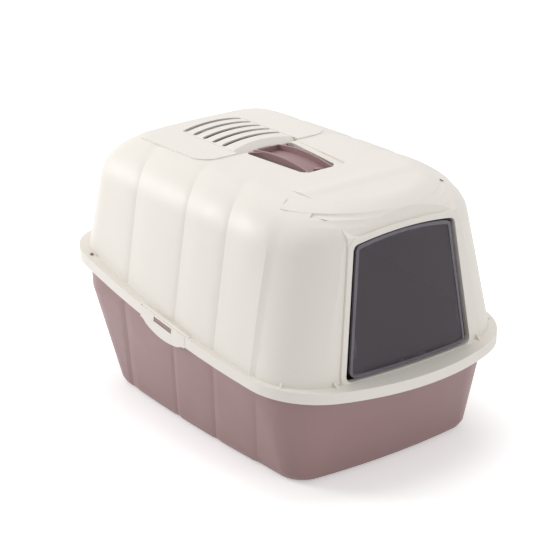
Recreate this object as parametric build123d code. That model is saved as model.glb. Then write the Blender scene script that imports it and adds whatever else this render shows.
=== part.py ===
from build123d import *
import os
from math import acos, atan, cos, degrees, pi, radians, sin, sqrt, tan

# Covered litter box. Millimetres, +Z up, the door faces -Y, the long axis is Y.
# The origin is on the surface it stands on, under the middle of the rim.

# Rim where the hood meets the tray: level at the front, rising to the rear on a large arc
RIM_LENGTH = 560.0
RIM_WIDTH = 382.0
RIM_BOW_FRONT = 16.0
RIM_BOW_REAR = 22.0
RIM_BOW_SIDE = 8.0
RIM_RADIUS_FRONT = 104.0
RIM_RADIUS_REAR = 52.0
RIM_FRONT_Z = 130.0
RIM_ARC_RADIUS = 2480.0

# Hood flange and its skirt
FLANGE_HEIGHT = 14.5
FLANGE_PLATE = 2.6
SKIRT_WALL = 2.4

# Hood walls
WALL = 3.2
HOOD_FOOT_Z = 145.0
HOOD_BELOW_FOOT = 45.0
WALL_SECTIONS = 5
HOOD_FRONT = 239.5
HOOD_REAR = 264.5
HOOD_HALF_WIDTH = 177.0
HOOD_BOW_END = 7.0
HOOD_BOW_SIDE = 7.0
HOOD_DRAFT_FRONT = 0.027
HOOD_DRAFT_REAR = 0.169
HOOD_DRAFT_SIDE = 0.148
HOOD_CORNER_FRONT = 80.0
HOOD_CORNER_REAR = 56.0
HOOD_CORNER_FRONT_GROWTH = 0.2
HOOD_CORNER_REAR_DRAFT = 0.09
HOOD_CORNER_ROOM = 6.0
SHOULDER_FRONT = 44.5
SHOULDER_REAR = 32.0
SHOULDER_SIDE = 53.0
SHOULDER_TURNS = (0, 12, 24, 35, 46, 56, 66, 75, 83, 90)
ROOF_Z = 351.5
ROOF_SLOPE = 0.024

# Flutes down the long sides of the hood and of the tray, each named by its rear step
FLUTE_Y = (-154.0, -69.0, 17.0, 129.0)
FLUTE_DEPTH = 2.0
FLUTE_STEP = 8.0
FLUTE_RAMP_HOOD = 30.0
FLUTE_BEND = 38.0
FLUTE_SHALLOWEST = 0.16
TRAY_FLUTE_RAMPS = (34.0, 12.0, 10.0, 18.0)
TRAY_FLUTE_LEAN = 0.27
TRAY_FLUTE_DEPTH = 1.8
FLUTE_MARGIN = 1.0

# Door brow, a raised panel that carries the door frame
DOOR_LEAN = 0.1
DOOR_BOTTOM_Z = 145.0
DOOR_TOP_Z = 315.0
DOOR_HALF_BOTTOM = 102.0
DOOR_HALF_TOP = 80.5
DOOR_ARCH = 8.0
DOOR_CORNER = 9.0
FRAME_FACE_Y = -226.6
FRAME_STAND = 2.4
FRAME_DEPTH = 9.0
FRAME_PROUD = 0.8
FRAME_WIDTH = 7.0
FRONT_BOW = 5.0
FRONT_SPAN = 90.0
BROW_HALF_WIDTH = 88.0
BROW_HALF_FOOT = 112.0
BROW_TOP_Z = 357.5
BROW_TOP_Y = -132.0
BROW_REAR_Y = -98.0
BROW_MID_Y = -186.0
BROW_MID_Z = 346.0
BROW_SPREAD = 20.0
BROW_FOOT_Z = 110.0
BROW_HEAD_RISE = 6.0
BROW_SHOULDER_IN = 10.0

# Door flap
FLAP_GAP = 2.6
FLAP_GAP_TOP_SIDE = 5.6
FLAP_GAP_LOW_SIDE = 7.4
FLAP_GAP_BOTTOM = 3.4
FLAP_RIM = 4.0
FLAP_RIM_HEIGHT = 0.9
FLAP_THICKNESS = 2.4
FLAP_RECESS = 2.4
FLAP_PIN_RADIUS = 1.8
FLAP_PIN_DROP = 7.0
FLAP_PIN_SETBACK = 1.0
FLAP_PIN_START = 70.0
FLAP_PIN_END = 86.0
FLAP_BORE_END = 87.5
PIN_CLEARANCE = 0.08
EAR_WALL = 2.6
EAR_START = 82.0
EAR_END = 89.0

# Filter cover with its vents
COVER_HALF_WIDTH = 49.0
COVER_FRONT_Y = 62.0
COVER_REAR_Y = 182.0
COVER_CROWN = 5.0
COVER_WALL = 2.2
COVER_APRON = 6.0
COVER_APRON_RUN = 6.0
COVER_CORNER = 22.0
VENT_COUNT = 5
VENT_HALF_LENGTH = 47.0
VENT_FIRST_Y = 82.0
VENT_PITCH = 21.5
VENT_WIDTH = 8.0
NOTCH_HALF = 11.0
NOTCH_HEIGHT = 2.4
COVER_GAP = 0.6
KNUCKLE_X = 22.0
KNUCKLE_LENGTH = 10.0
KNUCKLE_RADIUS = 2.4
KNUCKLE_EAR = 4.0
KNUCKLE_BEHIND = 3.2
KNUCKLE_ABOVE = 1.0
COVER_PIN_RADIUS = 1.3
COVER_PIN_LENGTH = 3.0
PIN_END_GAP = 1.0

# Filter pocket in the roof and the charcoal pad in it
POCKET_HALF_WIDTH = 45.0
POCKET_FRONT_Y = 70.0
POCKET_REAR_Y = 172.0
POCKET_DEPTH = 18.0
POCKET_CORNER = 10.0
PAD_CLEARANCE = 1.2
PAD_THICKNESS = 8.0
PAD_SEAT_GAP = 0.3
GRILLE_COUNT = 6
GRILLE_SLOT = 8.0
GRILLE_BORDER = 10.0
GRILLE_END = 4.0

# Plateau on the rear of the roof
PLATEAU_HALF_WIDTH = 104.0
PLATEAU_FRONT_Y = 46.0
PLATEAU_REAR_Y = 206.0
PLATEAU_RISE = 1.6
PLATEAU_CORNER = 24.0

# Hand well in the roof and the carrying handle across it
WELL_HALF_REAR = 47.5
WELL_HALF_FRONT = 36.5
WELL_REAR_Y = 57.0
WELL_FRONT_Y = -73.0
WELL_DEPTH = 40.0
WELL_LEDGE = 10.0
WELL_LEDGE_DROP = 1.6
WELL_CORNER = 9.0
HANDLE_HALF_WIDTH = 20.5
HANDLE_FRONT_Y = -82.0
HANDLE_RISE_Z = 354.5
HANDLE_END_Z = 346.0
HANDLE_HEIGHT = 10.0
HANDLE_FLANGE = 3.0
HANDLE_FLOOR = 2.6
HANDLE_BAR_RADIUS = 4.5
HANDLE_BAR_Y = 50.0
HANDLE_BAR_DROP = 2.5
HANDLE_FLARE = 14.0
HANDLE_BOSS_RADIUS = 4.0
HANDLE_BOSS_HEIGHT = 8.0
HANDLE_BOSS_SETBACK = 26.0
HANDLE_CREST_Y = 5.0
HANDLE_REAR_RISE = 3.0
HANDLE_CHANNEL_SETBACK = 4.0
HANDLE_WEB_RUN = 26.0
HANDLE_WEB_WAIST = 12.0
HANDLE_WEB_EDGE = 2.0
HANDLE_WEB_WAIST_OUT = 4.0
HANDLE_WEB_DROP = 1.5
HANDLE_SEAT_GAP = 0.3
SEAT_END_GAP = 0.5

# Tray, given at four heights: base, bend above it, knee and top
TRAY_WALL = 3.2
TRAY_FLOOR = 3.0
TRAY_BASE_Z = 1.2
TRAY_BEND_Z = 4.5
TRAY_KNEE_Z = 11.0
TRAY_TOP_Z = 146.0
TRAY_BASE_END = 198.0
TRAY_BASE_HALF = 137.0
TRAY_BEND_END = 203.5
TRAY_BEND_HALF = 142.0
TRAY_KNEE_END = 207.0
TRAY_KNEE_HALF = 145.4
TRAY_TOP_END = 245.0
TRAY_TOP_HALF = 177.0
TRAY_ABOVE_TOP = 60.0
TRAY_HEAD_GROWTH = 1.5
TRAY_BOW_END = 6.5
TRAY_BOW_SIDE = 8.0
TRAY_KNEE_RADIUS = 34.0
TRAY_TOP_RADIUS_FRONT = 96.0
TRAY_TOP_RADIUS_REAR = 66.0
TRAY_LIP = 3.0
LIP_SKIRT_GAP = 0.8
SEAT_GAP = 0.3
FOOT_RADIUS = 11.0
FOOT_INSET = 18.0
PEG_RADIUS = 2.0
PEG_Y = 204.0
PEG_HEIGHT = 6.6
PEG_FROM_EDGE = 6.0
PEG_CLEARANCE = 0.7

# Side latches, one at the middle of each long side, turning on pins at the flange's top
LATCH_Y = 20.0
LATCH_LENGTH = 98.0
LATCH_TURN = 0.72
LATCH_TURN_DROP = 0.55
LATCH_TURN_SLOPE = 0.45
LATCH_THICKNESS = 2.4
LATCH_DROP = 12.0
LATCH_DROP_ENDS = 1.5
LATCH_REACH = 6.4
LATCH_GAP = 0.4
LATCH_DECK = 2.0
LATCH_PIN_RADIUS = 1.2
LATCH_BARREL_RADIUS = 2.0
LATCH_PIN_LENGTH = 3.0
LATCH_CHEEK = 4.5
CATCH_LENGTH = 38.0
CATCH_LOW = 6.4
CATCH_HIGH = 11.2
CATCH_DEPTH = 8.6
CATCH_RECESS = 0.5
WINDOW_CLEARANCE = 0.8
WINDOW_CLEARANCE_LOW = 1.4

# Fins that stand on the flange against the hood's foot
FIN_HEIGHT = 6.5
FIN_THICKNESS = 2.4
FIN_REACH = 8.0
FIN_FRONT = (117.0, -240.0, -90.0)
FIN_CORNER = (168.0, -201.0, -32.0)

FAR = 700.0
RIM_START_Y = -RIM_LENGTH / 2
RIM_CENTRE_Z = RIM_FRONT_Z + RIM_ARC_RADIUS
RIM_HALF_WIDTH = RIM_WIDTH / 2
LIP_TOP = FLANGE_HEIGHT - FLANGE_PLATE - SEAT_GAP
DOOR_ARCH_TOP = DOOR_TOP_Z + DOOR_ARCH
PIN_Z = DOOR_TOP_Z - FLAP_PIN_DROP
LATCH_PIN_X = LATCH_BARREL_RADIUS - LATCH_REACH
LATCH_PIN_Z = FLANGE_HEIGHT
COVER_PIN_Y = COVER_REAR_Y + KNUCKLE_BEHIND
ROOF = Plane(origin=(0, 0, ROOF_Z), x_dir=(1, 0, 0), z_dir=(0, ROOF_SLOPE, 1))


def rim_z(y, rise=0.0):
    """Height of the rim's lower edge at y, or of the arc that lies rise above it."""
    return RIM_CENTRE_Z - sqrt((RIM_ARC_RADIUS - rise) ** 2 - (y - RIM_START_Y) ** 2)


def rim_angle(y):
    """Slope of the rim at y, in degrees."""
    return degrees(atan((y - RIM_START_Y) / (RIM_CENTRE_Z - rim_z(y))))


def above_rim(rise):
    """Everything above the rim's arc, moved up by rise."""
    reach = RIM_LENGTH / 2 + RIM_RADIUS_REAR
    ends = [(y, rim_z(y, rise)) for y in (-reach, 0, reach)]
    arc = ThreePointArc(*ends)
    lid = Polyline(ends[2], (reach, FAR), (-reach, FAR), ends[0])
    face = make_face([arc, lid])
    return extrude(Plane.YZ * face, RIM_WIDTH, both=True)


def rim_band(low, high):
    return above_rim(low) - above_rim(high)


def bulged_outline(front, rear, half, bows, radii, notches=()):
    """A rounded rectangle whose four sides bulge a little, with V notches down its long sides.

    bows are the front, rear and side bulges, and radii are those of the front and rear corners.
    A notch's wall sinks from its foot to its root, and comes back out at its step.
    """
    bow_front, bow_rear, bow_side = bows
    r_front, r_rear = radii
    middle = (rear - front) / 2
    reach = (rear + front) / 2
    y_front = r_front - front
    y_rear = rear - r_rear

    def bulge(y):
        return half + bow_side * (1 - ((y - middle) / reach) ** 2)

    x_front = bulge(y_front) - r_front
    x_rear = bulge(y_rear) - r_rear

    def wall(y):
        if y < y_front:
            y_round = y_front - y
            return (x_front + sqrt(r_front ** 2 - y_round ** 2), y)
        return (bulge(y), y)

    def front_corner(turn):
        return (x_front + r_front * sin(turn), y_front - r_front * cos(turn))

    def rear_corner(turn):
        return (x_rear + r_rear * sin(turn), y_rear + r_rear * cos(turn))

    turn_front = 2 * bow_front / x_front
    turn_rear = 2 * bow_rear / x_rear
    start = front_corner(turn_front)
    end = rear_corner(turn_rear)
    nose = (0, start[1] - start[0] * tan(turn_front / 2))
    tail = (0, end[1] + end[0] * tan(turn_rear / 2))
    stop = acos((y_front - notches[0][0]) / r_front) if notches else pi / 2
    path = [(start, front_corner((turn_front + stop) / 2), front_corner(stop))]
    for foot, root, step, depth in notches:
        if len(path) > 1:
            last = path[-1][-1][1]
            path.append((wall(last), wall((last + foot) / 2), wall(foot)))
        sunk = (wall(root)[0] - depth, root)
        halfway = (foot + root) / 2
        path.append((wall(foot), (wall(halfway)[0] - depth / 2, halfway), sunk))
        path.append((sunk, wall(step)))
    last = path[-1][-1][1]
    path.append((wall(last), wall((last + y_rear) / 2), wall(y_rear)))
    path.append((rear_corner(pi / 2), rear_corner((pi / 2 + turn_rear) / 2), end))

    right = [edge_through(points) for points in path]
    left = [edge_through([(-x, y) for x, y in reversed(points)]) for points in reversed(path)]
    rear_edge = ThreePointArc(end, tail, (-end[0], end[1]))
    front_edge = ThreePointArc((-start[0], start[1]), nose, start)
    return make_face(right + [rear_edge] + left + [front_edge])


def edge_through(points):
    return Line(*points) if len(points) == 2 else ThreePointArc(*points)


def flute_notches(front, rear, radii, ramps, depth, shift):
    """The notches that the flutes make in one outline, moved rearward by shift."""
    notches = []
    for y, ramp in zip(FLUTE_Y, ramps):
        step = min(y + shift, rear - radii[1] - FLUTE_MARGIN)
        root = step - FLUTE_STEP
        foot = root - ramp
        sink = depth
        if not notches:
            foot = min(foot, radii[0] - front - FLUTE_MARGIN)
            sink = min(depth, FLUTE_DEPTH)
        notches.append((foot, root, step, sink))
    return notches


def rim_outline(inset=0.0):
    half = RIM_HALF_WIDTH - RIM_BOW_SIDE - inset
    return bulged_outline(RIM_LENGTH / 2 - RIM_BOW_FRONT - inset, RIM_LENGTH / 2 - RIM_BOW_REAR - inset, half,
                          (RIM_BOW_FRONT, RIM_BOW_REAR, RIM_BOW_SIDE),
                          (RIM_RADIUS_FRONT - inset, RIM_RADIUS_REAR - inset))


def prism(face, low=-FLANGE_HEIGHT, high=FAR):
    return extrude(Plane.XY.offset(low) * face, high - low)


def shoulder(radius, top, z):
    """How far a wall has turned inward at z on a shoulder that ends level at top."""
    climb = z - (top - radius)
    return 0.0 if climb <= 0 else radius - sqrt(max(radius ** 2 - climb ** 2, 0.0))


def hood_section(z, inset, fluted):
    top = ROOF_Z - inset
    rise = z - HOOD_FOOT_Z
    turned_in = shoulder(SHOULDER_SIDE, top, z)
    front = HOOD_FRONT - HOOD_DRAFT_FRONT * rise - inset - shoulder(SHOULDER_FRONT, top, z)
    rear = HOOD_REAR - HOOD_DRAFT_REAR * rise - inset - shoulder(SHOULDER_REAR, top, z)
    half = HOOD_HALF_WIDTH - HOOD_DRAFT_SIDE * rise - inset - turned_in
    radii = (min(HOOD_CORNER_FRONT + HOOD_CORNER_FRONT_GROWTH * rise - inset, half - HOOD_CORNER_ROOM),
             HOOD_CORNER_REAR - HOOD_CORNER_REAR_DRAFT * rise - inset)
    notches = ()
    if fluted:
        upright = max(1 - turned_in / SHOULDER_SIDE, FLUTE_SHALLOWEST)
        bend = FLUTE_BEND * turned_in / SHOULDER_SIDE
        notches = flute_notches(front, rear, radii, [FLUTE_RAMP_HOOD] * len(FLUTE_Y),
                                FLUTE_DEPTH / upright, bend)
    face = bulged_outline(front, rear, half, (HOOD_BOW_END, HOOD_BOW_END, HOOD_BOW_SIDE), radii, notches)
    return Plane(origin=(0, 0, z), x_dir=(1, 0, 0), z_dir=(0, ROOF_SLOPE, 1)) * face


def hood_form(inset, fluted=False):
    """The hood's closed outer form, moved inward by inset, with its front cut back behind the door frame."""
    top = ROOF_Z - inset
    low = HOOD_FOOT_Z - HOOD_BELOW_FOOT
    climb = top - SHOULDER_SIDE - low
    heights = [low + climb * k / WALL_SECTIONS for k in range(WALL_SECTIONS)]
    heights += [top - SHOULDER_SIDE * (1 - sin(radians(turn))) for turn in SHOULDER_TURNS]
    form = loft([hood_section(z, inset, fluted) for z in heights], ruled=True)
    return form & front_slab(FRAME_FACE_Y + FRAME_STAND + inset, 2 * RIM_LENGTH, RIM_WIDTH / 2, 0, FAR)


def door_outline(margin=0.0, bottom=0.0):
    """The door opening seen from the front, grown by margin, with its lower edge moved by bottom."""
    low = DOOR_BOTTOM_Z - margin + bottom
    high = DOOR_TOP_Z + margin
    slope = (DOOR_HALF_BOTTOM - DOOR_HALF_TOP) / (DOOR_TOP_Z - DOOR_BOTTOM_Z)
    wide = DOOR_HALF_BOTTOM + margin + slope * (DOOR_BOTTOM_Z - low)
    narrow = DOOR_HALF_TOP + margin - slope * (high - DOOR_TOP_Z)
    base = Polyline((-narrow, high), (-wide, low), (wide, low), (narrow, high))
    arch = ThreePointArc((narrow, high), (0, high + DOOR_ARCH), (-narrow, high))
    face = make_face([base, arch])
    return fillet(face.vertices(), max(DOOR_CORNER + margin, 1.0))


def front_prism(face, depth=FAR / 2):
    """A front-view outline (X, Z) driven through the front half of the hood."""
    return extrude(Plane.XZ * face, depth)


def front_bow(x):
    """How far behind the front's middle line the bowed front lies at x."""
    radius = (FRONT_SPAN ** 2 + FRONT_BOW ** 2) / (2 * FRONT_BOW)
    return radius - sqrt(radius ** 2 - x ** 2)


def front_slab(y_outer, thickness, half, low, high):
    """A leaning slab bowed forward in plan; y_outer is its outer face at the door's top corners."""
    base = y_outer - FRONT_BOW - DOOR_LEAN * (DOOR_TOP_Z - low)
    side = base + front_bow(half)
    outer = ThreePointArc((-half, side), (0, base), (half, side))
    inner = ThreePointArc((half, side + thickness), (0, base + thickness), (-half, side + thickness))
    face = make_face([outer, Line((half, side), (half, side + thickness)), inner,
                      Line((-half, side + thickness), (-half, side))])
    way = Vector(0, DOOR_LEAN, 1).normalized()
    height = (high - low) * sqrt(1 + DOOR_LEAN ** 2)
    return extrude(Plane.XY.offset(low) * face, height, dir=way)


def brow_form(inset):
    """The raised panel over and around the door, moved inward by inset."""
    low = BROW_FOOT_Z
    ahead = FRONT_BOW - inset
    head = (FRAME_FACE_Y - ahead + DOOR_LEAN * BROW_HEAD_RISE, DOOR_TOP_Z + BROW_HEAD_RISE)
    foot = (FRAME_FACE_Y - ahead - DOOR_LEAN * (DOOR_TOP_Z - low), low)
    middle = (BROW_MID_Y + inset - FRONT_BOW / 2, BROW_MID_Z - inset)
    crest = (BROW_TOP_Y, BROW_TOP_Z - inset)
    arc = ThreePointArc(head, middle, crest)
    rest = Polyline(crest, (BROW_REAR_Y, ROOF_Z - inset), (0, ROOF_Z - BROW_SPREAD), (0, low), foot)
    side = make_face([Line(foot, head), arc, rest])
    body = extrude(Plane.YZ * side, BROW_HALF_FOOT + BROW_SPREAD, both=True)
    spread = BROW_HALF_FOOT + BROW_SPREAD
    body = body & front_slab(FRAME_FACE_Y + inset, FAR / 2, spread, low - BROW_SPREAD, FAR)
    top_half = BROW_HALF_WIDTH - inset
    foot_half = BROW_HALF_FOOT - inset
    crown_half = top_half - BROW_SHOULDER_IN
    view = make_face(Polyline((-foot_half, low), (foot_half, low), (top_half, DOOR_TOP_Z), (crown_half, FAR),
                              (-crown_half, FAR), (-top_half, DOOR_TOP_Z), close=True))
    return body & front_prism(view)


def latch_frame(side):
    """Local frame of a latch: X points outward, Y along the rim, Z up from the rim's lower edge."""
    tilt = rim_angle(LATCH_Y)
    spot = Plane(origin=(side * RIM_HALF_WIDTH, LATCH_Y, rim_z(LATCH_Y)),
                 x_dir=(side, 0, 0),
                 z_dir=(0, -sin(radians(tilt)), cos(radians(tilt))))
    return spot


def local_box(x0, x1, y0, y1, z0, z1):
    return Pos((x0 + x1) / 2, (y0 + y1) / 2, (z0 + z1) / 2) * Box(x1 - x0, y1 - y0, z1 - z0)


def latch_notch():
    half = LATCH_LENGTH / 2 + LATCH_GAP
    return local_box(-LATCH_REACH - LATCH_GAP, LATCH_REACH, -half, half, -LATCH_DROP, 2 * FLANGE_HEIGHT)


def latch_rod(radius, length):
    """A round bar on the latch's hinge line, in the latch's frame."""
    return Pos(LATCH_PIN_X, 0, LATCH_PIN_Z) * Rot(90, 0, 0) * Cylinder(radius, length)


def make_latch(side):
    half = LATCH_LENGTH / 2
    ends = -LATCH_DROP_ENDS
    turn_y = half * LATCH_TURN
    turn_z = -LATCH_DROP * LATCH_TURN_DROP
    drop = ThreePointArc((-turn_y, turn_z), (0, -LATCH_DROP), (turn_y, turn_z))
    left = Spline((-half, ends), (-turn_y, turn_z), tangents=[(1, 0), (1, -LATCH_TURN_SLOPE)])
    right = Spline((turn_y, turn_z), (half, ends), tangents=[(1, LATCH_TURN_SLOPE), (1, 0)])
    rest = Polyline((half, ends), (half, FLANGE_HEIGHT), (-half, FLANGE_HEIGHT), (-half, ends))
    front = extrude(Plane.YZ * make_face([left, drop, right, rest]), -LATCH_THICKNESS)
    deck = local_box(-LATCH_REACH + LATCH_BARREL_RADIUS, -LATCH_THICKNESS / 2, -half, half,
                     FLANGE_HEIGHT - LATCH_DECK, FLANGE_HEIGHT)
    window = local_box(-2 * LATCH_THICKNESS, LATCH_THICKNESS,
                       -CATCH_LENGTH / 2 - WINDOW_CLEARANCE, CATCH_LENGTH / 2 + WINDOW_CLEARANCE,
                       CATCH_LOW - WINDOW_CLEARANCE_LOW, CATCH_HIGH + WINDOW_CLEARANCE)
    latch = front + deck + latch_rod(LATCH_BARREL_RADIUS, 2 * half) - window
    latch += latch_rod(LATCH_PIN_RADIUS, 2 * half + 2 * LATCH_PIN_LENGTH)
    return latch_frame(side) * latch


def make_catch():
    """The tray's catch, in the latch's frame: a bar standing out of the lip."""
    return local_box(-CATCH_DEPTH, 0, -CATCH_LENGTH / 2, CATCH_LENGTH / 2, CATCH_LOW, CATCH_HIGH)


def tray_section(z, end, half, radius_front, radius_rear, inset, fluted):
    front = end - inset
    notches = ()
    radii = (radius_front - inset, radius_rear - inset)
    if fluted:
        lean = TRAY_FLUTE_LEAN * (TRAY_TOP_Z - z)
        notches = flute_notches(front, front, radii, TRAY_FLUTE_RAMPS, TRAY_FLUTE_DEPTH, lean)
    bows = (TRAY_BOW_END, TRAY_BOW_END, TRAY_BOW_SIDE)
    return Plane.XY.offset(z) * bulged_outline(front, front, half - inset, bows, radii, notches)


def tray_form(inset, fluted=False):
    """The tray's closed form, moved inward by inset and carried on above its top."""
    lift = TRAY_FLOOR if inset else 0.0
    small = (TRAY_KNEE_RADIUS, TRAY_KNEE_RADIUS)
    large = (TRAY_TOP_RADIUS_FRONT, TRAY_TOP_RADIUS_REAR)
    knee = (TRAY_KNEE_Z + lift, TRAY_KNEE_END, TRAY_KNEE_HALF, *small)
    top = (TRAY_TOP_Z, TRAY_TOP_END, TRAY_TOP_HALF, *large)
    stages = [(TRAY_BASE_Z + lift, TRAY_BASE_END, TRAY_BASE_HALF, *small),
              (TRAY_BEND_Z + lift, TRAY_BEND_END, TRAY_BEND_HALF, *small)]
    for k in range(WALL_SECTIONS):
        share = k / WALL_SECTIONS
        stages.append([low + (high - low) * share for low, high in zip(knee, top)])
    stages += [top, (TRAY_TOP_Z + TRAY_ABOVE_TOP, TRAY_TOP_END + TRAY_HEAD_GROWTH,
                     TRAY_TOP_HALF + TRAY_HEAD_GROWTH, *large)]
    return loft([tray_section(*stage, inset, fluted) for stage in stages], ruled=True)


def make_tray():
    outer = tray_form(0, fluted=True) - above_rim(LIP_TOP)
    lip = prism(rim_outline(SKIRT_WALL + LIP_SKIRT_GAP)) & rim_band(LIP_TOP - TRAY_LIP, LIP_TOP)
    tray = outer + lip - tray_form(TRAY_WALL)
    for side in (-1, 1):
        tray += latch_frame(side) * make_catch() & prism(rim_outline(CATCH_RECESS))
        for end in (-1, 1):
            spot = (side * (TRAY_BASE_HALF - FOOT_INSET), end * (TRAY_BASE_END - FOOT_INSET))
            tray += Pos(*spot) * Pos(0, 0, TRAY_BEND_Z / 2) * Cylinder(FOOT_RADIUS, TRAY_BEND_Z)
        base_z = rim_z(PEG_Y, LIP_TOP) - TRAY_LIP / 2
        tray += Pos(side * peg_x(), PEG_Y, base_z + PEG_HEIGHT / 2) * Cylinder(PEG_RADIUS, PEG_HEIGHT)
    return tray


def peg_x():
    """A peg stands midway across the flange's ledge."""
    return RIM_HALF_WIDTH - RIM_BOW_SIDE - PEG_FROM_EDGE


def vent_slot(y):
    return Pos(0, y, 0) * extrude(SlotOverall(2 * VENT_HALF_LENGTH, VENT_WIDTH), POCKET_DEPTH)


def cover_block(inset, depth):
    """The crowned cover's form in the roof's frame, where Z = 0 is the roof."""
    half = COVER_HALF_WIDTH - inset
    edge = PLATEAU_RISE - inset
    arc = ThreePointArc((-half, edge), (0, edge + COVER_CROWN), (half, edge))
    low = edge - depth
    face = make_face([arc, Polyline((half, edge), (half, low), (-half, low), (-half, edge))])
    body = extrude(Plane.XZ * face, inset - COVER_REAR_Y)
    slant = Plane(origin=(0, COVER_FRONT_Y + inset, PLATEAU_RISE + COVER_CROWN),
                  x_dir=(1, 0, 0), z_dir=(0, COVER_APRON, -COVER_APRON_RUN))
    body = body & (slant * Pos(0, 0, FAR / 2) * Box(FAR, FAR, FAR))
    length = COVER_REAR_Y - inset
    plan = Pos(0, length / 2) * Rectangle(2 * half, length)
    plan = fillet(plan.vertices().group_by(Axis.Y)[-1], COVER_CORNER - inset)
    return body & (Pos(0, 0, -FAR / 2) * extrude(plan, FAR))


def knuckle(radius, x0, x1):
    """A round bar on the cover's hinge line, at both knuckles."""
    bar = Pos((x0 + x1) / 2, COVER_PIN_Y, KNUCKLE_ABOVE) * Rot(0, 90, 0) * Cylinder(radius, x1 - x0)
    return Pos(-KNUCKLE_X, 0, 0) * bar + Pos(KNUCKLE_X, 0, 0) * bar


def knuckle_arm(reach, y0, y1, low, high):
    """A block at both knuckles, given by its heights about the hinge line."""
    arm = local_box(-reach, reach, y0, y1, KNUCKLE_ABOVE + low, KNUCKLE_ABOVE + high)
    return Pos(-KNUCKLE_X, 0, 0) * arm + Pos(KNUCKLE_X, 0, 0) * arm


def make_cover():
    cover = cover_block(0, COVER_APRON) - cover_block(COVER_WALL, 2 * COVER_APRON)
    for k in range(VENT_COUNT):
        cover -= vent_slot(VENT_FIRST_Y + k * VENT_PITCH)
    low = PLATEAU_RISE - COVER_APRON
    cover -= local_box(-NOTCH_HALF, NOTCH_HALF, 0, COVER_FRONT_Y, low - NOTCH_HEIGHT, low + NOTCH_HEIGHT)
    reach = KNUCKLE_LENGTH / 2
    cover += knuckle_arm(reach, COVER_REAR_Y - COVER_WALL / 2, COVER_PIN_Y, -KNUCKLE_RADIUS, KNUCKLE_RADIUS)
    cover += knuckle(KNUCKLE_RADIUS, -reach, reach)
    cover += knuckle(COVER_PIN_RADIUS, -reach - COVER_PIN_LENGTH, reach + COVER_PIN_LENGTH)
    return ROOF * cover


def make_filter():
    half = POCKET_HALF_WIDTH - PAD_CLEARANCE - WALL
    length = POCKET_REAR_Y - POCKET_FRONT_Y - 2 * (PAD_CLEARANCE + WALL)
    face = fillet(Rectangle(2 * half, length).vertices(), POCKET_CORNER - WALL - PAD_CLEARANCE)
    floor_z = WALL + PAD_SEAT_GAP - POCKET_DEPTH
    return ROOF * Pos(0, (POCKET_FRONT_Y + POCKET_REAR_Y) / 2, floor_z) * extrude(face, PAD_THICKNESS)


def well_outline(inset):
    rear = WELL_REAR_Y - inset
    front = WELL_FRONT_Y + inset
    face = make_face(Polyline((-WELL_HALF_REAR + inset, rear), (WELL_HALF_REAR - inset, rear),
                              (WELL_HALF_FRONT - inset, front), (inset - WELL_HALF_FRONT, front), close=True))
    return fillet(face.vertices(), WELL_CORNER)


def handle_ribbon(thick, drop):
    """The arched side view of the handle's bar, drop below its upper edge."""
    start = (HANDLE_FRONT_Y, HANDLE_END_Z - drop)
    crest = (HANDLE_CREST_Y, HANDLE_RISE_Z - drop)
    end = (HANDLE_BAR_Y, HANDLE_END_Z + HANDLE_REAR_RISE - drop)
    upper = ThreePointArc(start, crest, end)
    start_low, crest_low, end_low = ((y, z - thick) for y, z in (start, crest, end))
    lower = ThreePointArc(end_low, crest_low, start_low)
    return make_face([upper, Line(end, end_low), lower, Line(start_low, start)])


def handle_flare(grow):
    """Plan of the web that spreads from the bar into the cross bar."""
    half = HANDLE_HALF_WIDTH + grow
    wide = half + HANDLE_FLARE
    fore = HANDLE_BAR_Y - HANDLE_WEB_RUN - grow
    edge = HANDLE_BAR_Y - HANDLE_WEB_EDGE - grow
    waist = (half + HANDLE_WEB_WAIST_OUT, HANDLE_BAR_Y - HANDLE_WEB_WAIST)
    right = ThreePointArc((half, fore), waist, (wide, edge))
    left = ThreePointArc((-wide, edge), (-waist[0], waist[1]), (-half, fore))
    rear = Polyline((wide, edge), (wide, HANDLE_BAR_Y), (-wide, HANDLE_BAR_Y), (-wide, edge))
    return make_face([Line((-half, fore), (half, fore)), right, rear, left])


def handle_axle_z():
    return HANDLE_END_Z - HANDLE_BAR_DROP - HANDLE_BAR_RADIUS


def make_handle():
    """Arched channel bar with a cross bar at its rear and a tongue that sits in the front wall."""
    half = HANDLE_HALF_WIDTH
    bar = extrude(Plane.YZ * handle_ribbon(HANDLE_HEIGHT, 0), half, both=True)
    channel = extrude(Plane.YZ * handle_ribbon(HANDLE_HEIGHT, -HANDLE_FLOOR), half - HANDLE_FLANGE, both=True)
    channel = channel & local_box(-half, half, HANDLE_FRONT_Y + HANDLE_CHANNEL_SETBACK,
                                  HANDLE_BAR_Y - HANDLE_BAR_RADIUS, 0, FAR)
    length = 2 * (WELL_HALF_REAR - SEAT_END_GAP - HANDLE_SEAT_GAP)
    axle = Pos(0, HANDLE_BAR_Y, handle_axle_z()) * Rot(0, 90, 0) * Cylinder(HANDLE_BAR_RADIUS, length)
    web = prism(handle_flare(0)) & extrude(Plane.YZ * handle_ribbon(HANDLE_HEIGHT, HANDLE_WEB_DROP),
                                           2 * half, both=True)
    handle = bar + web + axle - channel
    boss = Cylinder(HANDLE_BOSS_RADIUS, HANDLE_BOSS_HEIGHT)
    return handle + Pos(0, HANDLE_FRONT_Y + HANDLE_BOSS_SETBACK, HANDLE_END_Z - 1) * boss


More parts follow.
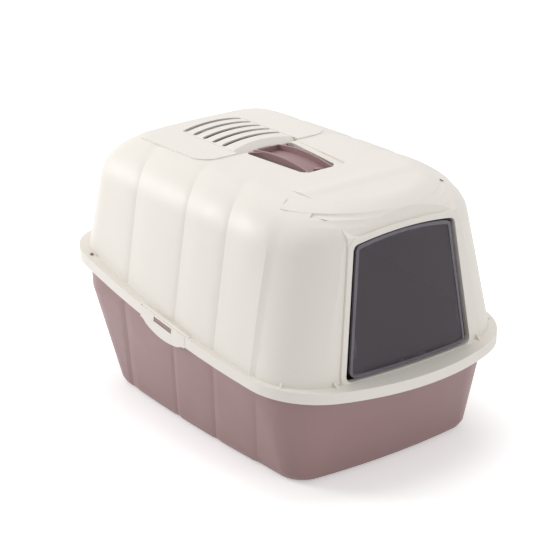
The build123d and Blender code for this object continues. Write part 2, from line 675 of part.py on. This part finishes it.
def flap_outline(inset):
    """The flap seen from the front: the door's shape with wider gaps at its sides."""
    high = DOOR_TOP_Z - FLAP_GAP - inset
    low = DOOR_BOTTOM_Z + FLAP_GAP_BOTTOM + inset
    narrow = DOOR_HALF_TOP - FLAP_GAP_TOP_SIDE - inset
    wide = DOOR_HALF_BOTTOM - FLAP_GAP_LOW_SIDE - inset
    sides = Polyline((-narrow, high), (-wide, low), (wide, low), (narrow, high))
    arch = ThreePointArc((narrow, high), (0, high + DOOR_ARCH), (-narrow, high))
    face = make_face([sides, arch])
    return fillet(face.vertices(), DOOR_CORNER - inset)


def make_flap():
    y_outer = FRAME_FACE_Y + FLAP_RECESS
    span = (FRONT_SPAN + FRAME_WIDTH * 2, RIM_FRONT_Z, DOOR_ARCH_TOP + FRAME_WIDTH)
    plate = front_slab(y_outer, FLAP_THICKNESS, *span) & front_prism(flap_outline(0))
    border = front_prism(flap_outline(0)) - front_prism(flap_outline(FLAP_RIM))
    raised = front_slab(y_outer - FLAP_RIM_HEIGHT, FLAP_RIM_HEIGHT + FLAP_THICKNESS / 2, *span) & border
    return plate + raised + pin_rod(FLAP_PIN_RADIUS, FLAP_PIN_START, FLAP_PIN_END)


def pin_y():
    middle = FRAME_FACE_Y + FLAP_RECESS + FLAP_THICKNESS / 2
    return middle - DOOR_LEAN * FLAP_PIN_DROP + FLAP_PIN_SETBACK


def pin_rod(radius, x0, x1):
    """A round bar on the flap's hinge line from x0 to x1, and its twin on the other side."""
    rod = Rot(0, 90, 0) * Cylinder(radius, x1 - x0)
    spot = (x0 + x1) / 2
    return Pos(spot, pin_y(), PIN_Z) * rod + Pos(-spot, pin_y(), PIN_Z) * rod


def make_plateau():
    length = PLATEAU_REAR_Y - PLATEAU_FRONT_Y
    plan = fillet(Rectangle(2 * PLATEAU_HALF_WIDTH, length).vertices(), PLATEAU_CORNER)
    return hood_form(-PLATEAU_RISE) & prism(Pos(0, PLATEAU_FRONT_Y + length / 2) * plan)


def make_hood():
    body = hood_form(0, fluted=True) + brow_form(0) + make_plateau()
    cabin = hood_form(WALL) + brow_form(WALL)
    plate_low = FLANGE_HEIGHT - FLANGE_PLATE
    shell = (body - cabin) & above_rim(plate_low)
    flange = prism(rim_outline()) & rim_band(0, FLANGE_HEIGHT)
    under = prism(rim_outline(SKIRT_WALL)) & rim_band(-FLANGE_PLATE, plate_low)
    hood = shell + (flange - under - (cabin & above_rim(-FLANGE_HEIGHT)))
    hood += frame_ring()
    hood -= front_prism(door_outline()) & local_box(-FAR, FAR, -FAR, BROW_TOP_Y, 0, FAR)
    hood += pin_rod(FLAP_PIN_RADIUS + EAR_WALL, EAR_START, EAR_END)
    hood -= pin_rod(FLAP_PIN_RADIUS + PIN_CLEARANCE, FLAP_PIN_START, FLAP_BORE_END)
    hood = add_filter_pocket(hood)
    hood = add_well(hood)
    hood = add_fins(hood, body)
    return add_latch_seats(hood)


def frame_ring():
    """Raised ring round the door, as deep as the flap needs."""
    slab = front_slab(FRAME_FACE_Y - FRAME_PROUD, FRAME_DEPTH, BROW_HALF_FOOT + BROW_SPREAD, RIM_FRONT_Z,
                      DOOR_ARCH_TOP + 2 * FRAME_WIDTH)
    return slab & front_prism(door_outline(FRAME_WIDTH)) & above_rim(FLANGE_HEIGHT - FLANGE_PLATE)


def add_filter_pocket(hood):
    length = POCKET_REAR_Y - POCKET_FRONT_Y
    middle = (POCKET_FRONT_Y + POCKET_REAR_Y) / 2
    outer_face = fillet(Rectangle(2 * POCKET_HALF_WIDTH, length).vertices(), POCKET_CORNER)
    inner_face = Rectangle(2 * (POCKET_HALF_WIDTH - WALL), length - 2 * WALL)
    inner_face = fillet(inner_face.vertices(), POCKET_CORNER - WALL)
    outer = Pos(0, middle, -POCKET_DEPTH) * extrude(outer_face, POCKET_DEPTH - WALL)
    inner = Pos(0, middle, WALL - POCKET_DEPTH) * extrude(inner_face, 2 * POCKET_DEPTH)
    depth = COVER_APRON + COVER_GAP
    bay_low = PLATEAU_RISE - depth - WALL
    walls = Pos(0, 0, bay_low) * extrude(bay_outline(), -bay_low - WALL / 2)
    bay = cover_block(-COVER_GAP, depth + COVER_GAP)
    reach = KNUCKLE_LENGTH / 2
    room = KNUCKLE_RADIUS + COVER_GAP
    ear = knuckle(KNUCKLE_RADIUS, -reach - COVER_GAP - KNUCKLE_EAR, reach + COVER_GAP + KNUCKLE_EAR)
    gap = knuckle(room, -reach - COVER_GAP, reach + COVER_GAP)
    gap += knuckle_arm(reach + COVER_GAP, COVER_REAR_Y, COVER_PIN_Y, -room, POCKET_DEPTH)
    gap += knuckle_arm(reach + COVER_GAP, COVER_PIN_Y, COVER_PIN_Y + room, 0, POCKET_DEPTH)
    bore = knuckle(COVER_PIN_RADIUS + PIN_CLEARANCE, -reach - COVER_PIN_LENGTH - PIN_END_GAP,
                   reach + COVER_PIN_LENGTH + PIN_END_GAP)
    hood = hood + ROOF * (outer + walls + (ear - bay)) - ROOF * (inner + bay + gap + bore)
    pitch = (length - 2 * (WALL + GRILLE_END)) / GRILLE_COUNT
    half = POCKET_HALF_WIDTH - GRILLE_BORDER
    for k in range(GRILLE_COUNT):
        y = POCKET_FRONT_Y + WALL + GRILLE_END + pitch * (k + 0.5)
        hood -= ROOF * local_box(-half, half, y - GRILLE_SLOT / 2, y + GRILLE_SLOT / 2,
                                 -POCKET_DEPTH - WALL, 2 * WALL - POCKET_DEPTH)
    return hood


def bay_outline():
    rear = COVER_REAR_Y + COVER_GAP + WALL
    front = WELL_REAR_Y - WALL
    half = COVER_HALF_WIDTH + COVER_GAP + WALL
    face = Pos(0, (front + rear) / 2) * Rectangle(2 * half, rear - front)
    return fillet(face.vertices().group_by(Axis.Y)[-1], COVER_CORNER)


def add_well(hood):
    """The hand well, its narrow ledge, and the trough at its rear that holds the handle's cross bar."""
    low = ROOF_Z - WELL_DEPTH
    cup = prism(well_outline(WELL_LEDGE - WALL), low - WALL, ROOF_Z - WELL_LEDGE_DROP)
    shelf = prism(well_outline(-2 * WALL), ROOF_Z - WELL_LEDGE_DROP - WALL, ROOF_Z - WELL_LEDGE_DROP)
    hollow = prism(well_outline(WELL_LEDGE), low, FAR)
    rebate = prism(well_outline(0), ROOF_Z - WELL_LEDGE_DROP, FAR)
    bay = ROOF * cover_block(-COVER_GAP, COVER_APRON + 2 * COVER_GAP)
    room = HANDLE_BAR_RADIUS + HANDLE_SEAT_GAP
    half = COVER_HALF_WIDTH + COVER_GAP
    trough = local_box(-half - WALL, half + WALL, HANDLE_BAR_Y - room - WALL, COVER_FRONT_Y,
                       handle_axle_z() - room - WALL, ROOF_Z - WELL_LEDGE_DROP)
    mouth = local_box(-half, half, HANDLE_BAR_Y - room, WELL_REAR_Y, handle_axle_z(), FAR)
    return hood + (cup + shelf + trough - bay) - hollow - rebate - mouth - make_handle_seat()


def make_handle_seat():
    """Clearance round the handle where its cross bar, web and tongue enter the hood."""
    gap = HANDLE_SEAT_GAP
    room = HANDLE_BAR_RADIUS + gap
    length = 2 * (WELL_HALF_REAR - SEAT_END_GAP)
    groove = Pos(0, HANDLE_BAR_Y, handle_axle_z()) * Rot(0, 90, 0) * Cylinder(room, length)
    side = Plane.YZ * handle_ribbon(HANDLE_HEIGHT + 2 * gap, -gap)
    slot = extrude(side, HANDLE_HALF_WIDTH + gap, both=True)
    web = prism(handle_flare(gap), handle_axle_z() - room, ROOF_Z)
    return groove + slot + web + Pos(0, -gap, 0) * slot


def add_fins(hood, body):
    """Small fins that stand on the flange against the hood's foot."""
    profile = Polyline((-FIN_REACH, 0), (FIN_REACH, 0), (0, FIN_HEIGHT), (-FIN_REACH, FIN_HEIGHT), close=True)
    fin = extrude(Plane.XZ * make_face(profile), FIN_THICKNESS / 2, both=True)
    for x, y, turn in (FIN_FRONT, FIN_CORNER):
        height = rim_z(y, FLANGE_HEIGHT) - FLANGE_PLATE / 2
        for side, outward in ((1, turn), (-1, 180 - turn)):
            hood += Pos(side * x, y, height) * Rot(0, 0, outward) * fin - body
    return hood


def add_latch_seats(hood):
    """Notches for the latches, cheeks that hold their pins, and holes that the tray's pegs fill."""
    half = LATCH_LENGTH / 2 + LATCH_GAP
    for side in (-1, 1):
        frame = latch_frame(side)
        cheeks = latch_rod(LATCH_BARREL_RADIUS, 2 * half + 2 * LATCH_CHEEK)
        bore = latch_rod(LATCH_PIN_RADIUS + PIN_CLEARANCE, 2 * half + 2 * LATCH_PIN_LENGTH)
        hood = hood + frame * cheeks - frame * latch_notch() - frame * bore
        hole = Cylinder(PEG_RADIUS + PEG_CLEARANCE, 2 * PEG_HEIGHT)
        hood -= Pos(side * peg_x(), PEG_Y, rim_z(PEG_Y, LIP_TOP) + FLANGE_PLATE) * hole
    return hood


def write(name, shape):
    solids = shape.solids()
    if len(solids) == 1:
        shape = solids[0]
    export_step(shape, f"parts/{name}.step")


os.makedirs("parts", exist_ok=True)
write("litter_tray", make_tray())
write("hood_shell", make_hood())
write("door_flap", make_flap())
write("filter_cover", make_cover())
write("charcoal_filter", make_filter())
write("carry_handle", make_handle())
write("side_latch_left", make_latch(-1))
write("side_latch_right", make_latch(1))
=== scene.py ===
import math

import bmesh
import bpy
from mathutils import Matrix, Vector


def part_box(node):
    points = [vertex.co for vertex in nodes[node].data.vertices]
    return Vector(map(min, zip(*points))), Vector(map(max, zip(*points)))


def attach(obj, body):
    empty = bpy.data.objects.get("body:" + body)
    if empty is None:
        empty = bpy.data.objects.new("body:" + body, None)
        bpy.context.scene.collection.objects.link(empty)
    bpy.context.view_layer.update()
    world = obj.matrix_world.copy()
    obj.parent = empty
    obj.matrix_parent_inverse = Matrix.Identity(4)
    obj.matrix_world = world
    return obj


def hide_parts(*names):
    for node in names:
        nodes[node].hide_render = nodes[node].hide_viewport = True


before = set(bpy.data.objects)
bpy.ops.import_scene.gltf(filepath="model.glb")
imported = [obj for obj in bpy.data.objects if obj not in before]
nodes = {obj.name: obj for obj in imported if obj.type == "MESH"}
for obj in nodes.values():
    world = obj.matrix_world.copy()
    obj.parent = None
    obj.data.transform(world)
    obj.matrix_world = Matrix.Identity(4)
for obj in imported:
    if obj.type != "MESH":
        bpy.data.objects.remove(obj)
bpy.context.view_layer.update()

# Camera, fitted to the object in the photograph: degrees, metres and pixels
CAMERA_AZIMUTH = -37.65
CAMERA_ELEVATION = 22.29
CAMERA_DISTANCE = 2.6747
CAMERA_TARGET = Vector((-0.01537, 0.0, 0.18124))
CLIP_START = 0.05
CLIP_END = 50
SENSOR = 36.0
FOCAL_PIXELS = 2031.45
FRAME_PIXELS = 560

# Shading of the CAD nodes: degrees, metres and the strength of large faces
SHARP_ANGLE = 14.5
WELD_DISTANCE = 0.00001
FACE_WEIGHT = 100

# Door flap, in metres
FLAP_LOW_HALF = 0.0946
FLAP_TOP_HALF = 0.0749
FLAP_ARCH = 0.008
FLAP_BORDER = 0.0041

# Charcoal pad, in metres
PAD_THICKNESS = 0.008
PAD_TILT = 0.024
PAD_CROWN = 0.0006
PAD_EDGE = 0.0018
PAD_SHARES = (0.8, 0.55, 0.3, 0.12)
PAD_CORNER_INSET = 0.3
PAD_CORNER_HEIGHT = 0.8
PAD_SIDE_HEIGHT = 0.3
PAD_RING_POINTS = 96
PAD_SQUARENESS = 0.26

# Colours in sRGB, 0 to 255
CREAM = (232, 227, 219)
MAUVE = (155, 126, 125)
SMOKE = (76, 69, 76)
# The flap border's paler colour is a painted highlight, standing in for light caught by its
# bevel
SMOKE_BORDER_HIGHLIGHT = (122, 117, 128)
CHARCOAL = (34, 34, 36)
# The pores' darker colour is painted shade
CHARCOAL_PORE_SHADE = (14, 14, 15)
FLOOR_WHITE = (250, 250, 250)
WHITE_LIGHT = (1, 1, 1, 1)

# Moulded plastic: flow marks, uneven gloss and satin grain
CREAM_ROUGHNESS = 0.44
CREAM_FLOW = 0.02
MAUVE_ROUGHNESS = 0.42
MAUVE_FLOW = 0.04
PLASTIC_IOR = 1.49
PLASTIC_SPECULAR = 0.4
FLOW_SCALE = 9.0
FLOW_DETAIL = 2.0
GLOSS_SCALE = 26.0
GLOSS_DETAIL = 4.0
GLOSS_BELOW = 0.04
GLOSS_ABOVE = 0.05
GRAIN_SCALE = 1700.0
GRAIN_DETAIL = 2.0
GRAIN_STRENGTH = 0.12
GRAIN_DEPTH = 0.0002

# Smoky plastic of the flap
FLAP_ALPHA = 0.56
FLAP_BORDER_ALPHA = 0.72
CLOUD_SCALE = 14.0
CLOUD_DETAIL = 2.0
CLOUD_SHARE = 0.93
SMEAR_SCALE = 40.0
SMEAR_DETAIL = 3.0
SMOKE_ROUGHNESS = (0.13, 0.19)

# Charcoal foam
PORE_SCALE = 900.0
PORE_STRENGTH = 0.8
PORE_DEPTH = 0.001
FOAM_ROUGHNESS = 0.95

# Noise: its own roughness, and the ends between which most of its values lie
NOISE_ROUGHNESS = 0.5
NOISE_LOW = 0.3
NOISE_HIGH = 0.7

# Floor and world
FLOOR_SIZE = 14
FLOOR_DROP = 0.0005
FLOOR_ROUGHNESS = 0.9
FLOOR_GLOW = 0.35
WORLD_STRENGTH = 0.5
SEEN_STRENGTH = 1.0

# Area lamps: name, place and aim in metres, side in metres, power in watts
LAMPS = (
    ("key", (-1.9, 2.3, 1.2), (0, 0, 0.15), 1.1, 40),
    ("top", (0.2, 0.4, 2.8), (0, 0, 0.2), 2.0, 30),
    ("fill", (0.6, -3.0, 0.9), (0, 0, 0.15), 1.6, 17),
)


def linear(rgb):
    """Scene-linear colour with alpha 1 from sRGB bytes."""
    out = []
    for value in rgb:
        c = value / 255
        out.append(c / 12.92 if c <= 0.04045 else ((c + 0.055) / 1.055) ** 2.4)
    return (*out, 1.0)


def dimmed(colour, share):
    """The colour with its light taken down to a share, and alpha 1."""
    return (*(c * share for c in colour[:3]), 1.0)


def new_material(name):
    material = bpy.data.materials.new(name)
    material.use_nodes = True
    tree = material.node_tree
    return material, tree, tree.nodes["Principled BSDF"]


def object_place(tree):
    """Object coordinates, so that a pattern is the same from every side."""
    return tree.nodes.new("ShaderNodeTexCoord").outputs["Object"]


def noise(tree, scale, detail):
    node = tree.nodes.new("ShaderNodeTexNoise")
    node.inputs["Scale"].default_value = scale
    node.inputs["Detail"].default_value = detail
    node.inputs["Roughness"].default_value = NOISE_ROUGHNESS
    tree.links.new(object_place(tree), node.inputs["Vector"])
    return node.outputs["Fac"]


def set_colour(tree, shader, factor, first, second):
    """Base colour that goes from the first to the second with the factor."""
    node = tree.nodes.new("ShaderNodeMix")
    node.data_type = "RGBA"
    node.inputs["A"].default_value = first
    node.inputs["B"].default_value = second
    tree.links.new(factor, node.inputs["Factor"])
    tree.links.new(node.outputs["Result"], shader.inputs["Base Color"])


def set_roughness(tree, shader, source, low, high):
    """Roughness that goes from low to high between the noise's usual ends."""
    node = tree.nodes.new("ShaderNodeMapRange")
    node.inputs["From Min"].default_value = NOISE_LOW
    node.inputs["From Max"].default_value = NOISE_HIGH
    node.inputs["To Min"].default_value = low
    node.inputs["To Max"].default_value = high
    tree.links.new(source, node.inputs["Value"])
    tree.links.new(node.outputs["Result"], shader.inputs["Roughness"])


def set_bump(tree, shader, height, strength, distance):
    bump = tree.nodes.new("ShaderNodeBump")
    bump.inputs["Strength"].default_value = strength
    bump.inputs["Distance"].default_value = distance
    tree.links.new(height, bump.inputs["Height"])
    tree.links.new(bump.outputs["Normal"], shader.inputs["Normal"])


def moulded_plastic(name, rgb, roughness, flow):
    """Injection-moulded polypropylene: fine satin grain, faint flow marks and uneven gloss."""
    material, tree, shader = new_material(name)
    base = linear(rgb)
    marks = noise(tree, FLOW_SCALE, FLOW_DETAIL)
    set_colour(tree, shader, marks, base, dimmed(base, 1 - flow))
    gloss = noise(tree, GLOSS_SCALE, GLOSS_DETAIL)
    set_roughness(tree, shader, gloss, roughness - GLOSS_BELOW, roughness + GLOSS_ABOVE)
    grain = noise(tree, GRAIN_SCALE, GRAIN_DETAIL)
    set_bump(tree, shader, grain, GRAIN_STRENGTH, GRAIN_DEPTH)
    shader.inputs["Specular IOR Level"].default_value = PLASTIC_SPECULAR
    shader.inputs["IOR"].default_value = PLASTIC_IOR
    return material


def smoky_plastic(name, rgb, alpha):
    """Tinted translucent plastic, smooth and slightly cloudy."""
    material, tree, shader = new_material(name)
    base = linear(rgb)
    cloud = noise(tree, CLOUD_SCALE, CLOUD_DETAIL)
    set_colour(tree, shader, cloud, base, dimmed(base, CLOUD_SHARE))
    set_roughness(tree, shader, noise(tree, SMEAR_SCALE, SMEAR_DETAIL), *SMOKE_ROUGHNESS)
    shader.inputs["Alpha"].default_value = alpha
    shader.inputs["IOR"].default_value = PLASTIC_IOR
    return material


def charcoal_foam():
    """Matt open-pored foam, with painted shade darkening its pores."""
    material, tree, shader = new_material("charcoal_foam")
    pores = tree.nodes.new("ShaderNodeTexVoronoi")
    pores.inputs["Scale"].default_value = PORE_SCALE
    tree.links.new(object_place(tree), pores.inputs["Vector"])
    depth = pores.outputs["Distance"]
    # Painted shade: the colour darkens towards each pore
    set_colour(tree, shader, depth, linear(CHARCOAL_PORE_SHADE), linear(CHARCOAL))
    set_bump(tree, shader, depth, PORE_STRENGTH, PORE_DEPTH)
    shader.inputs["Roughness"].default_value = FOAM_ROUGHNESS
    return material


def smooth_group():
    """Geometry nodes that shade smoothly except over edges sharper than SHARP_ANGLE."""
    group = bpy.data.node_groups.new("smooth_by_angle", "GeometryNodeTree")
    for way in ("INPUT", "OUTPUT"):
        group.interface.new_socket(
            name="Geometry", in_out=way, socket_type="NodeSocketGeometry")
    start = group.nodes.new("NodeGroupInput")
    end = group.nodes.new("NodeGroupOutput")
    faces = group.nodes.new("GeometryNodeSetShadeSmooth")
    faces.domain = "FACE"
    edges = group.nodes.new("GeometryNodeSetShadeSmooth")
    edges.domain = "EDGE"
    edges.inputs["Shade Smooth"].default_value = False
    angle = group.nodes.new("GeometryNodeInputMeshEdgeAngle")
    sharp = group.nodes.new("FunctionNodeCompare")
    sharp.data_type = "FLOAT"
    sharp.operation = "GREATER_THAN"
    sharp.inputs["B"].default_value = math.radians(SHARP_ANGLE)
    group.links.new(angle.outputs["Unsigned Angle"], sharp.inputs["A"])
    group.links.new(sharp.outputs["Result"], edges.inputs["Selection"])
    group.links.new(start.outputs["Geometry"], faces.inputs["Geometry"])
    group.links.new(faces.outputs["Geometry"], edges.inputs["Geometry"])
    group.links.new(edges.outputs["Geometry"], end.inputs["Geometry"])
    return group


def dress(name, material, shading):
    """Gives a CAD node its material, joins its faces' shared vertices and shades it smoothly."""
    piece = nodes[name]
    piece.data.materials.clear()
    piece.data.materials.append(material)
    weld = piece.modifiers.new("weld", "WELD")
    weld.merge_threshold = WELD_DISTANCE
    smooth = piece.modifiers.new("smooth", "NODES")
    smooth.node_group = shading
    weights = piece.modifiers.new("weights", "WEIGHTED_NORMAL")
    weights.keep_sharp = True
    weights.weight = FACE_WEIGHT
    return piece


def paint_border_highlight(flap, material):
    """Paints a highlight on the flap's raised border, in a paler material than its middle."""
    flap.data.materials.append(material)
    low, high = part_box("door_flap")
    straight = high.z - low.z - FLAP_ARCH
    for polygon in flap.data.polygons:
        x = polygon.center.x
        rise = polygon.center.z - low.z
        half = FLAP_LOW_HALF + (FLAP_TOP_HALF - FLAP_LOW_HALF) * rise / straight
        top = straight + FLAP_ARCH * (1 - (x / FLAP_TOP_HALF) ** 2)
        beside = abs(x) > half - FLAP_BORDER
        if beside or rise < FLAP_BORDER or rise > top - FLAP_BORDER:
            polygon.material_index = 1


def rounded_ring(mesh, place, half_x, half_y, height):
    """A closed ring of vertices on a rectangle with well-rounded corners."""
    ring = []
    for k in range(PAD_RING_POINTS):
        turn = 2 * math.pi * k / PAD_RING_POINTS
        x = math.copysign(abs(math.cos(turn)) ** PAD_SQUARENESS, math.cos(turn)) * half_x
        y = math.copysign(abs(math.sin(turn)) ** PAD_SQUARENESS, math.sin(turn)) * half_y
        ring.append(mesh.verts.new(place @ Vector((x, y, height))))
    return ring


def pad_profile(half_x):
    """Pairs of inset and height, from the middle of the pad's underside round to its top's."""
    half_z = PAD_THICKNESS / 2
    corner = PAD_EDGE * PAD_CORNER_INSET
    profile = [(share * half_x, -half_z) for share in PAD_SHARES]
    profile += [
        (PAD_EDGE, -half_z),
        (corner, -half_z * PAD_CORNER_HEIGHT),
        (0.0, -half_z * PAD_SIDE_HEIGHT),
        (0.0, half_z * PAD_SIDE_HEIGHT),
        (corner, half_z * PAD_CORNER_HEIGHT),
        (PAD_EDGE, half_z),
    ]
    profile += [(share * half_x, half_z + PAD_CROWN * share) for share in reversed(PAD_SHARES)]
    return profile


def make_foam_pad(material):
    """The charcoal pad: a soft-edged slab, a little crowned, lying in its pocket."""
    low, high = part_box("charcoal_filter")
    half_x = (high.x - low.x) / 2
    half_y = (high.y - low.y) / 2
    place = Matrix.Translation((low + high) / 2) @ Matrix.Rotation(-PAD_TILT, 4, "X")
    mesh = bmesh.new()
    rings = [
        rounded_ring(mesh, place, half_x - inset, half_y - inset, height)
        for inset, height in pad_profile(half_x)
    ]
    mesh.faces.new(reversed(rings[0]))
    for lower, upper in zip(rings, rings[1:]):
        for k in range(PAD_RING_POINTS):
            after = (k + 1) % PAD_RING_POINTS
            mesh.faces.new((lower[k], lower[after], upper[after], upper[k]))
    mesh.faces.new(rings[-1])
    for face in mesh.faces:
        face.smooth = True
    data = bpy.data.meshes.new("foam_pad")
    mesh.to_mesh(data)
    mesh.free()
    pad = bpy.data.objects.new("foam_pad", data)
    bpy.context.scene.collection.objects.link(pad)
    data.materials.append(material)
    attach(pad, "hood")
    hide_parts("charcoal_filter")


def seen_ray(tree):
    """1 for rays from the camera, mirrored rays and rays through clear pieces, else 0."""
    path = tree.nodes.new("ShaderNodeLightPath")
    seen = path.outputs["Is Camera Ray"]
    for kind in ("Is Glossy Ray", "Is Transmission Ray"):
        either = tree.nodes.new("ShaderNodeMath")
        either.operation = "MAXIMUM"
        tree.links.new(seen, either.inputs[0])
        tree.links.new(path.outputs[kind], either.inputs[1])
        seen = either.outputs["Value"]
    return seen


def join_shaders(tree, lighting, shown, output):
    """Sends the shown shader to the output for seen rays, and the lighting one for the rest."""
    mix = tree.nodes.new("ShaderNodeMixShader")
    tree.links.new(seen_ray(tree), mix.inputs["Fac"])
    tree.links.new(lighting, mix.inputs[1])
    tree.links.new(shown, mix.inputs[2])
    tree.links.new(mix.outputs["Shader"], tree.nodes[output].inputs["Surface"])


def make_floor():
    """Pale floor that keeps the object's shadow and shows white to the camera."""
    bpy.ops.mesh.primitive_plane_add(size=FLOOR_SIZE, location=(0, 0, -FLOOR_DROP))
    floor = bpy.context.object
    floor.name = "studio_floor"
    material, tree, shader = new_material("studio_floor")
    shader.inputs["Base Color"].default_value = linear(FLOOR_WHITE)
    shader.inputs["Roughness"].default_value = FLOOR_ROUGHNESS
    glow = tree.nodes.new("ShaderNodeEmission")
    glow.inputs["Strength"].default_value = FLOOR_GLOW
    both = tree.nodes.new("ShaderNodeAddShader")
    tree.links.new(shader.outputs["BSDF"], both.inputs[0])
    tree.links.new(glow.outputs["Emission"], both.inputs[1])
    join_shaders(tree, shader.outputs["BSDF"], both.outputs["Shader"], "Material Output")
    floor.data.materials.append(material)


def make_world():
    """Even white light, with a white background for seen rays."""
    world = bpy.data.worlds.new("studio")
    bpy.context.scene.world = world
    world.use_nodes = True
    tree = world.node_tree
    lighting = tree.nodes["Background"]
    shown = tree.nodes.new("ShaderNodeBackground")
    for background, strength in ((lighting, WORLD_STRENGTH), (shown, SEEN_STRENGTH)):
        background.inputs["Color"].default_value = WHITE_LIGHT
        background.inputs["Strength"].default_value = strength
    join_shaders(
        tree, lighting.outputs["Background"], shown.outputs["Background"], "World Output")


def area_lamp(name, place, aim, size, power):
    lamp = bpy.data.lights.new(name, "AREA")
    lamp.size = size
    lamp.energy = power
    holder = bpy.data.objects.new(name, lamp)
    holder.location = place
    toward = Vector(aim) - Vector(place)
    holder.rotation_euler = toward.to_track_quat("-Z", "Y").to_euler()
    bpy.context.scene.collection.objects.link(holder)


def make_camera():
    a = math.radians(CAMERA_AZIMUTH)
    e = math.radians(CAMERA_ELEVATION)
    back = Vector((math.sin(a) * math.cos(e), -math.cos(a) * math.cos(e), math.sin(e)))
    data = bpy.data.cameras.new("camera")
    data.sensor_width = SENSOR
    data.lens = FOCAL_PIXELS / FRAME_PIXELS * SENSOR
    data.clip_start = CLIP_START
    data.clip_end = CLIP_END
    camera = bpy.data.objects.new("camera", data)
    camera.location = CAMERA_TARGET + back * CAMERA_DISTANCE
    camera.rotation_euler = (-back).to_track_quat("-Z", "Y").to_euler()
    bpy.context.scene.collection.objects.link(camera)
    bpy.context.scene.camera = camera


smooth_by_angle = smooth_group()
cream = moulded_plastic("cream_plastic", CREAM, CREAM_ROUGHNESS, CREAM_FLOW)
mauve = moulded_plastic("mauve_plastic", MAUVE, MAUVE_ROUGHNESS, MAUVE_FLOW)
smoky = smoky_plastic("smoky_flap", SMOKE, FLAP_ALPHA)
# The flap border's paler, less clear material is a painted highlight
smoky_border_highlight = smoky_plastic("smoky_border_highlight", SMOKE_BORDER_HIGHLIGHT, FLAP_BORDER_ALPHA)
for name in ("hood_shell", "filter_cover", "side_latch_left", "side_latch_right"):
    dress(name, cream, smooth_by_angle)
for name in ("litter_tray", "carry_handle"):
    dress(name, mauve, smooth_by_angle)
paint_border_highlight(dress("door_flap", smoky, smooth_by_angle), smoky_border_highlight)
make_foam_pad(charcoal_foam())

make_floor()
make_world()
for lamp in LAMPS:
    area_lamp(*lamp)
make_camera()
bpy.context.scene.view_settings.view_transform = "Standard"
